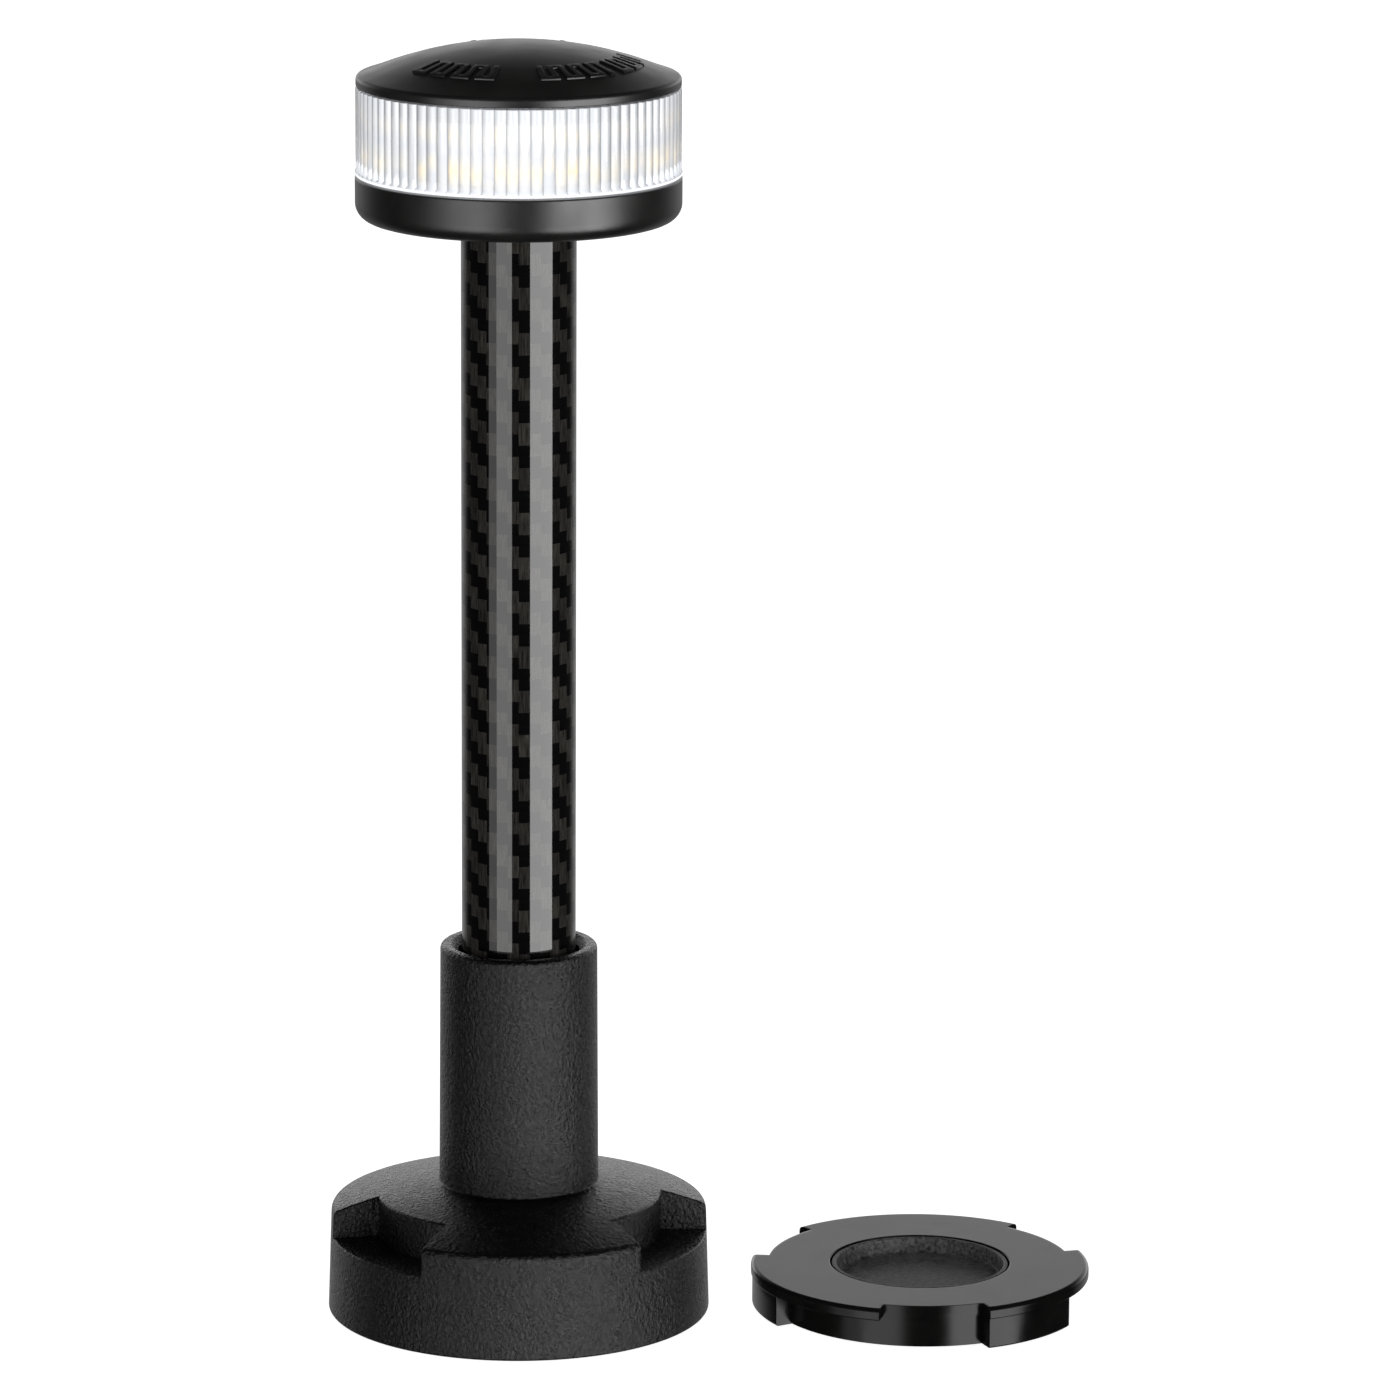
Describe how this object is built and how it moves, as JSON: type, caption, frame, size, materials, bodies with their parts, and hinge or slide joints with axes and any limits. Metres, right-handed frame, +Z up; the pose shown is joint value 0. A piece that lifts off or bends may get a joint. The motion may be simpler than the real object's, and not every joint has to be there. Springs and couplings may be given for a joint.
{
  "type": "all-round navigation light on a pole with a twist-lock deck plate",
  "caption": "Battery all-round white light: fluted lens head on a carbon tube, standing in a cup-shaped twist-lock foot, with its loose lobed deck plate beside it.",
  "frame": {"origin": "on the surface that the foot and the loose deck plate both rest on, in the middle of the footprint of the two; the lamp axis is 33.725 mm towards -X and the plate axis 37.475 mm towards +X", "axes": "+Z up along the pole towards the lens head, +X from the lamp towards the deck plate"},
  "size_m": [0.135, 0.0674, 0.2255],
  "materials": {
    "grained_nylon": "black glass-filled nylon with a moulded leather grain",
    "satin_plastic": "satin black ABS/PC",
    "gloss_plastic": "black plastic, satin on the face and glossy on the edges",
    "carbon_twill": "2x2 twill carbon fibre under clear epoxy",
    "clear_lens": "clear fluted polycarbonate",
    "white_plastic": "white moulded plastic",
    "black_aluminium": "black anodised",
    "bare_aluminium": "machined",
    "stainless_steel": "stainless",
    "brass": "plain",
    "rubber": "matt nitrile rubber",
    "foam": "closed-cell acrylic foam tape",
    "circuit_board": "white solder mask",
    "cell_jacket": "plain wrapped dry cell",
    "led": "yellow phosphor, lit white"
  },
  "bodies": {
    "foot": {"base_moulding": "grained_nylon", "socket_liner": "white_plastic", "socket_seal": "rubber", "deck_seal": "rubber", "liner_screw_1": "stainless_steel", "liner_screw_2": "stainless_steel", "liner_screw_3": "stainless_steel"},
    "pole": {"carbon_tube": "carbon_twill", "top_ferrule": "black_aluminium", "tail_ferrule": "black_aluminium", "cell_sleeve": "white_plastic", "return_strip": "brass", "cell_1": "cell_jacket", "cell_2": "cell_jacket", "cell_3": "cell_jacket", "contact_disc": "circuit_board", "centre_contact": "brass"},
    "head": {"head_housing": "satin_plastic", "stem_seal": "rubber", "lens": "clear_lens", "lower_seal": "rubber", "top_cap": "satin_plastic", "upper_seal": "rubber", "driver_board": "circuit_board", "led_core": "bare_aluminium", "led_1": "led", "led_2": "led", "led_3": "led", "led_4": "led", "led_5": "led", "led_6": "led", "led_7": "led", "led_8": "led", "lower_reflector": "white_plastic", "upper_reflector": "white_plastic", "clamp_bolt": "stainless_steel", "stem_clip": "stainless_steel", "wiper": "brass"},
    "tail_contact": {"tail_spring": "stainless_steel", "spring_plate": "brass"},
    "tail_screw": {"tail_plug": "black_aluminium", "plug_seal": "rubber"},
    "plate": {"deck_plate": "gloss_plastic", "centre_insert": "grained_nylon", "adhesive_pad": "foam"}
  },
  "joints": [
    {"name": "pole_lift", "type": "slide", "parent": "foot", "child": "pole", "axis": [0, 0, 1], "range_m": [0, 0.06]},
    {"name": "head_twist", "type": "hinge", "parent": "pole", "child": "head", "pos_m": [-0.03372, 0, 0.1949], "axis": [0, 0, 1], "range_deg": [0, 90]},
    {"name": "plug_travel", "type": "slide", "parent": "pole", "child": "tail_contact", "axis": [0, 0, -1], "range_m": [0, 0.008]},
    {"name": "plug_turn", "type": "hinge", "parent": "tail_contact", "child": "tail_screw", "pos_m": [-0.03372, 0, 0.012], "axis": [0, 0, -1], "range_deg": [0, 1440.01]},
    {"name": "plate_lift", "type": "slide", "parent": "foot", "child": "plate", "axis": [0, 0, 1], "range_m": [0, 0.05]}
  ],
  "couplings": [
    {"joint": "plug_turn", "follows": "plug_travel", "rad_per_m": 3141.6}
  ]
}
